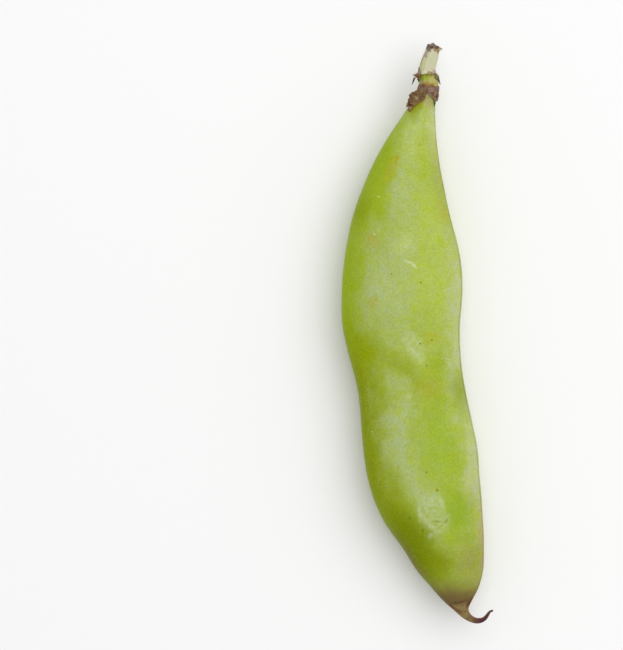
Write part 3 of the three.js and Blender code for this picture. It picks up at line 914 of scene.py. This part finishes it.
# Its lower edge rises in front, and hangs on the right to a thin spike.
pull(sheath, (2.4, 5.4, 2.6), (0.0, -0.95, 0), 0.9)
pull(sheath, (3.3, 5.0, 2.4), (0.0, -0.2, 0), 0.5)
pull(sheath, (4.7, 5.4, 0.9), (-0.1, 0.25, 0.1), 0.9)
pull(sheath, (4.1, 5.6, 1.4), (-0.05, 0.8, 0.1), 0.55, "SHARP")
pull(sheath, (0.4, 5.0, 1.6), (-0.35, 0.4, 0.1), 1.1)
pull(sheath, (-0.4, 5.0, -0.5), (-0.4, 0.7, 0), 1.2)
pull(sheath, (1.5, 5.4, -2.6), (-0.1, 0.7, -0.1), 1.0)
pull(sheath, (3.4, 5.4, -2.4), (0.1, 1.4, -0.1), 0.8)
round_off(sheath, 1)
raise_by(sheath, SHEATH_FOLDS, lambda corner: folds(corner, 1.0, 1.0, 5))


def press_on_pod(piece, clearance):
    """Pushes out to a clearance in millimetres whatever has sunk into the pod."""
    finish_with(
        piece, "SHRINKWRAP", target=pod, wrap_method="NEAREST_SURFACEPOINT", wrap_mode="OUTSIDE",
        offset=clearance * MM,
    )


press_on_pod(sheath, SHEATH_CLEARANCE)
finish_with(sheath, "SOLIDIFY", thickness=SHEATH_THICKNESS * MM, offset=1)
round_off(sheath, 1)
add_fibre(sheath, (4.25, 5.5, 2.0), (3.9, 8.1, 1.7), 0.42, (0.0, 0.0, 0.1))
bpy.ops.object.shade_smooth()

# Dried flower parchment: mauve-brown, with tan crests, painted shade that turns its pits near-black,
# and an orange stain where its upper edge has stuck to the neck.
sheath_paper, place = new_material("dried_flower_parchment")
tanned = mottle(sheath_paper, place, 0.8, 4.0, 0.65)
colour = tint(sheath_paper, "#75532F", "#A0846C", 1.0, tanned, 0.38, 0.62)
colour = lay_patches(sheath_paper, wander(sheath_paper, place, 0.8, 0.35), colour, [
    ("orange edge", (2.6, 2.75, 2.2), (1.9, 0.5, 1.6), -4, "#A87A4A", 0.9, 0.7),
    ("mauve middle", (3.3, 3.8, 2.3), (0.8, 0.7, 1.5), 0, "#AB8C88", 0.7, 0.7),
    ("lavender right", (4.9, 3.4, 0.8), (0.6, 0.7, 1.6), 0, "#8C7CA0", 0.75, 0.7),
    ("reddish left", (1.3, 2.9, 1.9), (0.9, 0.6, 1.5), 0, "#85563F", 0.7, 0.7),
    ("grey left", (1.2, 3.8, 2.0), (0.7, 0.5, 1.5), 0, "#9C8682", 0.6, 0.7),
    ("maroon hem", (3.6, 5.0, 2.0), (0.6, 0.5, 1.5), -40, "#5C3C34", 0.8, 0.7),
    ("maroon right", (4.5, 5.4, 1.3), (0.5, 0.8, 1.5), 0, "#563634", 0.8, 0.7),
    ("dark spike", (4.0, 7.2, 1.3), (0.6, 1.1, 1.5), 0, "#4A4226", 0.95, 0.5),
])
colour = paint_shade_in_pits(sheath_paper, colour, "#2E1A0E", 0.7)
coat_as_paper(sheath, sheath_paper, place, colour, roughness=0.7, gloss=0.35)
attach(sheath, "root")
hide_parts("stamen_sheath")


# ---- The petal ---------------------------------------------------------------------------------
# One withered petal, crumpled flat against the left shoulder just under the sheath: a brown flake
# like burnt paper, with painted tan highlights along its folds, and a curled lobe at its lower end.

# Each row holds how far down the flake it lies, its middle across, half its breadth, and how high
# it lies above the pod's middle, in millimetres.
PETAL_ROWS = [
    (3.95, 0.7, 0.55, 2.7),
    (4.2, 0.4, 1.15, 2.7),
    (4.45, 0.2, 1.5, 2.7),
    (4.75, 0.07, 1.75, 2.7),
    (5.1, 0.02, 1.85, 2.7),
    (5.6, -0.07, 1.9, 2.7),
    (6.05, -0.35, 1.8, 2.6),
    (6.45, -0.65, 1.7, 2.5),
    (6.75, -1.0, 1.5, 2.35),
    (7.05, -1.35, 1.35, 2.2),
    (7.4, -1.7, 1.15, 2.1),
    (7.75, -1.8, 0.83, 2.0),
    (8.1, -1.9, 0.7, 1.95),
    (8.4, -1.85, 0.4, 2.0),
    (8.6, -1.8, 0.15, 2.0),
]
FIRST_STRIP = 0.2
FACET_SIZE = 1.1
PETAL_FOLDS = 0.45
PETAL_CREASES = 0.3
PETAL_THICKNESS = 0.14
PETAL_CLEARANCE = 0.1


def creases(corner, size):
    """Crumpled paper: flat facets of a size in millimetres, 1, that meet in sharp folds, 0."""
    fold_breadth = 0.5  # as a share of a facet
    nearest, next_nearest = noise.voronoi(corner.co / MM / size)[0][:2]
    return min((next_nearest - nearest) / fold_breadth, 1)


# A square is narrowed to a first strip, and that is drawn out down the rows.
alone()
first = PETAL_ROWS[0]
middle = at(first[1], first[0] - first[2], first[3])
bpy.ops.mesh.primitive_plane_add(size=2 * first[2] * MM, location=middle)
petal = bpy.context.object
petal.name = petal.data.name = "shrivelled_petal"
bpy.ops.object.transform_apply(location=True, rotation=True, scale=True)
grip(petal, lambda corner: down(corner) < first[0] - first[2])
bpy.ops.transform.translate(value=(0, (FIRST_STRIP - 2 * first[2]) * MM, 0))
bpy.ops.object.mode_set(mode="OBJECT")
grip(petal, lambda corner: down(corner) > first[0] - FIRST_STRIP / 2)
before = first
for row in PETAL_ROWS[1:]:
    bpy.ops.mesh.extrude_region_move()
    move = ((row[1] - before[1]) * MM, (before[0] - row[0]) * MM, (row[3] - before[3]) * MM)
    bpy.ops.transform.translate(value=move)
    bpy.ops.transform.resize(value=(row[2] / before[2], 1, 1), center_override=at(row[1], row[0], row[3]))
    before = row
bpy.ops.mesh.select_all(action="SELECT")
bpy.ops.mesh.subdivide(number_cuts=7)
# Its left edge hangs clear of the shoulder and curls down; its right edge lies over the sheath.
pull(petal, (-1.9, 5.2, 2.7), (0, 0, -1.3), 1.6)
pull(petal, (-2.4, 7.0, 2.2), (0, 0, -1.2), 1.4)
pull(petal, (-2.8, 7.45, 2.1), (-0.15, 0.0, -0.3), 0.5, "SHARP")
pull(petal, (1.8, 5.4, 2.7), (0, 0, 0.25), 1.0)
pull(petal, (-0.4, 5.7, 2.4), (0.1, 0.1, 0.5), 0.8, "SHARP")
pull(petal, (-1.2, 7.0, 2.0), (0, 0, 0.4), 0.6, "SHARP")
pull(petal, (-1.1, 7.7, 1.9), (0, 0, -0.6), 0.5)
pull(petal, (-1.7, 8.2, 1.8), (0, 0, 0.3), 0.4)
pull(petal, (-2.45, 7.8, 1.6), (0.35, 0, 0), 0.25)
pull(petal, (-1.7, 4.6, 2.5), (0.25, 0.05, 0), 0.3)
pull(petal, (-2.1, 6.0, 1.8), (0.2, 0, 0), 0.3)
pull(petal, (1.9, 4.7, 2.8), (0.2, -0.1, 0.1), 0.4, "SHARP")
pull(petal, (0.6, 6.7, 2.6), (-0.1, -0.25, 0.1), 0.35)
pull(petal, (-2.5, 8.2, 1.6), (-0.15, 0.05, 0.1), 0.3, "SHARP")
round_off(petal, 1)
raise_by(petal, PETAL_FOLDS, lambda corner: folds(corner, 1.5, 1.0, 3))
raise_by(petal, PETAL_CREASES, lambda corner: creases(corner, FACET_SIZE))
press_on_pod(petal, PETAL_CLEARANCE)
finish_with(petal, "SOLIDIFY", thickness=PETAL_THICKNESS * MM, offset=1)
bpy.ops.object.shade_smooth()

# A withered petal is burnt-brown tissue: flat facets of several browns, with painted shade in the
# folds where they meet, painted tan highlights where a fold stands up and catches the light, and
# orange along its thin hem.
petal_paper, place = new_material("burnt_petal_paper")
crumpled = wander(petal_paper, place, 1.2, 0.25)
inputs = {"Vector": crumpled, "Scale": 1 / FACET_SIZE}
facets = add_node(petal_paper, "TexVoronoi", inputs=inputs).outputs["Color"]
facets = add_node(petal_paper, "SeparateColor", inputs={"Color": facets}).outputs["Red"]
colour = tint(petal_paper, "#6A4C26", "#8E7250", 1.0, facets, 0, 1, "LINEAR")
tanned = mottle(petal_paper, place, 0.5, 4.0, 0.65)
colour = tint(petal_paper, colour, "#9A8058", 0.4, tanned, 0.38, 0.62)
colour = lay_patches(petal_paper, wander(petal_paper, place, 1.0, 0.7), colour, [
    ("tan highlight on a facet", (-0.35, 5.95, 2.6), (1.0, 0.55, 2.0), 35, "#BCA888", 0.8, 1.0),
    ("tan highlight on a fold", (-1.0, 6.8, 2.0), (1.1, 0.3, 2.0), 50, "#B09468", 0.7, 1.0),
    ("tan highlight on the lobe", (-2.1, 8.1, 1.8), (0.8, 0.35, 2.0), -20, "#A88E62", 0.9, 1.0),
    ("reddish lines", (-1.6, 6.7, 1.8), (0.3, 1.1, 2.0), 25, "#7E4E34", 0.8, 0.8),
    ("red-brown lower part", (-1.9, 7.5, 1.8), (1.2, 0.7, 2.0), 0, "#673C0A", 0.9, 0.8),
    ("orange-brown hem", (0.1, 6.9, 2.4), (1.8, 0.4, 2.0), -30, "#9A6C28", 0.85, 0.8),
    ("highlight along a crease", (-1.5, 7.1, 1.8), (0.5, 0.2, 2.0), 30, "#A07E50", 0.7, 0.8),
    ("reddish right edge", (1.2, 6.0, 2.8), (0.5, 0.6, 2.0), 40, "#8A5A2C", 0.7, 0.8),
])
colour = paint_shade_in_pits(petal_paper, colour, "#3A2006", 0.75)
coat_as_paper(petal, petal_paper, place, colour, roughness=0.75, gloss=0.3)
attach(petal, "root")
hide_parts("petal")


# ---- The studio --------------------------------------------------------------------------------
# A white sweep of floor, one broad soft lamp, and a camera straight above that looks down.

# In metres.
FLOOR_BREADTH = 6
LAMP_PLACE = (0.44, 0.34, 1.27)
LAMP_BREADTH = 1.8
LAMP_WATTS = 12.5
SKY_STRENGTH = 0.58
# The camera looks down at a point beside the pod, and sees this breadth there, in millimetres.
LOOKED_AT = (-25.5, 1.9)
VIEW_BREADTH = 149.5
LENS = 200
SENSOR = 36

alone()
bpy.ops.mesh.primitive_plane_add(size=FLOOR_BREADTH)
floor = bpy.context.object
floor.name = "floor"
# White background paper is matt.
paper = bpy.data.materials.new("white_paper")
paper.use_nodes = True
paper.node_tree.nodes["Principled BSDF"].inputs["Base Color"].default_value = (0.96, 0.96, 0.96, 1)
paper.node_tree.nodes["Principled BSDF"].inputs["Roughness"].default_value = 0.9
floor.data.materials.append(paper)

world = bpy.data.worlds.new("studio")
bpy.context.scene.world = world
world.use_nodes = True
world.node_tree.nodes["Background"].inputs["Color"].default_value = (1, 1, 1, 1)
world.node_tree.nodes["Background"].inputs["Strength"].default_value = SKY_STRENGTH

bpy.ops.object.light_add(type="AREA", location=LAMP_PLACE)
lamp = bpy.context.object
lamp.name = "soft_lamp"
lamp.data.shape = "DISK"
lamp.data.size = LAMP_BREADTH
lamp.data.energy = LAMP_WATTS
lamp.rotation_euler = (Vector((0, 0, 0)) - lamp.location).to_track_quat("-Z", "Y").to_euler()
lamp.visible_camera = False

camera_height = middle_height + LENS / SENSOR * VIEW_BREADTH * MM
bpy.ops.object.camera_add(location=(LOOKED_AT[0] * MM, LOOKED_AT[1] * MM, camera_height))
camera = bpy.context.object
camera.name = "camera"
camera.data.sensor_fit = "HORIZONTAL"
camera.data.sensor_width = SENSOR
camera.data.lens = LENS
bpy.context.scene.camera = camera
bpy.context.scene.view_settings.view_transform = "Standard"
